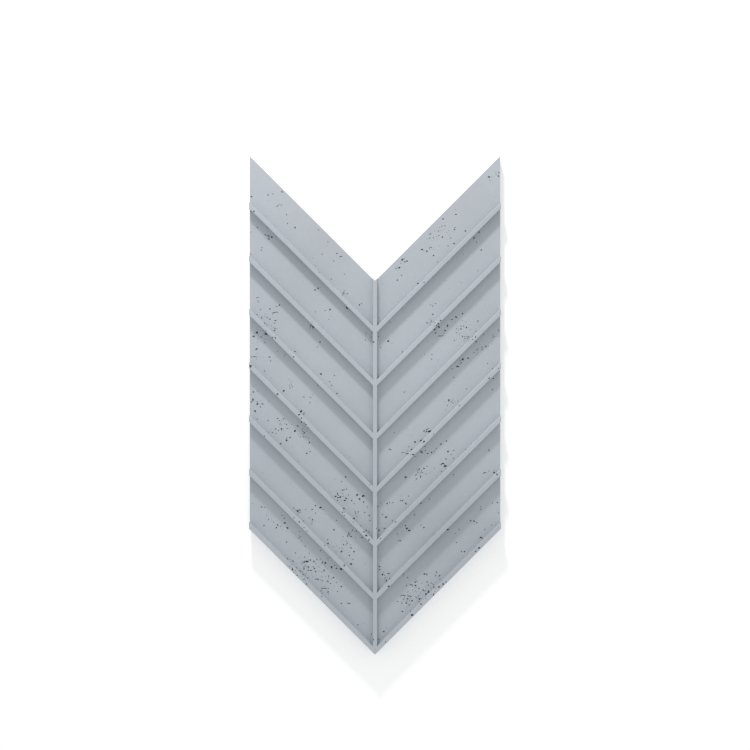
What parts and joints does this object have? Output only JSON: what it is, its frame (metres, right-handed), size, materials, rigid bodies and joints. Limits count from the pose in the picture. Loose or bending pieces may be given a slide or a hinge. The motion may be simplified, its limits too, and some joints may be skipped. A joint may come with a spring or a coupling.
{
  "type": "herringbone concrete wall panel",
  "caption": "Cast concrete wall panel with chevron slats: raised ribs climb from a central spine over flat fields, and its pointed end fits the notch of the next panel.",
  "frame": {"origin": "middle of the back, which lies on the ground: bottom centre of the bounding box", "axes": "+X to the right across the panel as seen from its face, +Y along the spine towards the notch, which is up on a wall, +Z out of the ribbed face"},
  "size_m": [0.3, 0.5954, 0.02],
  "materials": {
    "concrete": "matt fair-faced concrete, cool grey, with open air pores"
  },
  "bodies": {
    "root": {"panel": "concrete"}
  },
  "joints": []
}
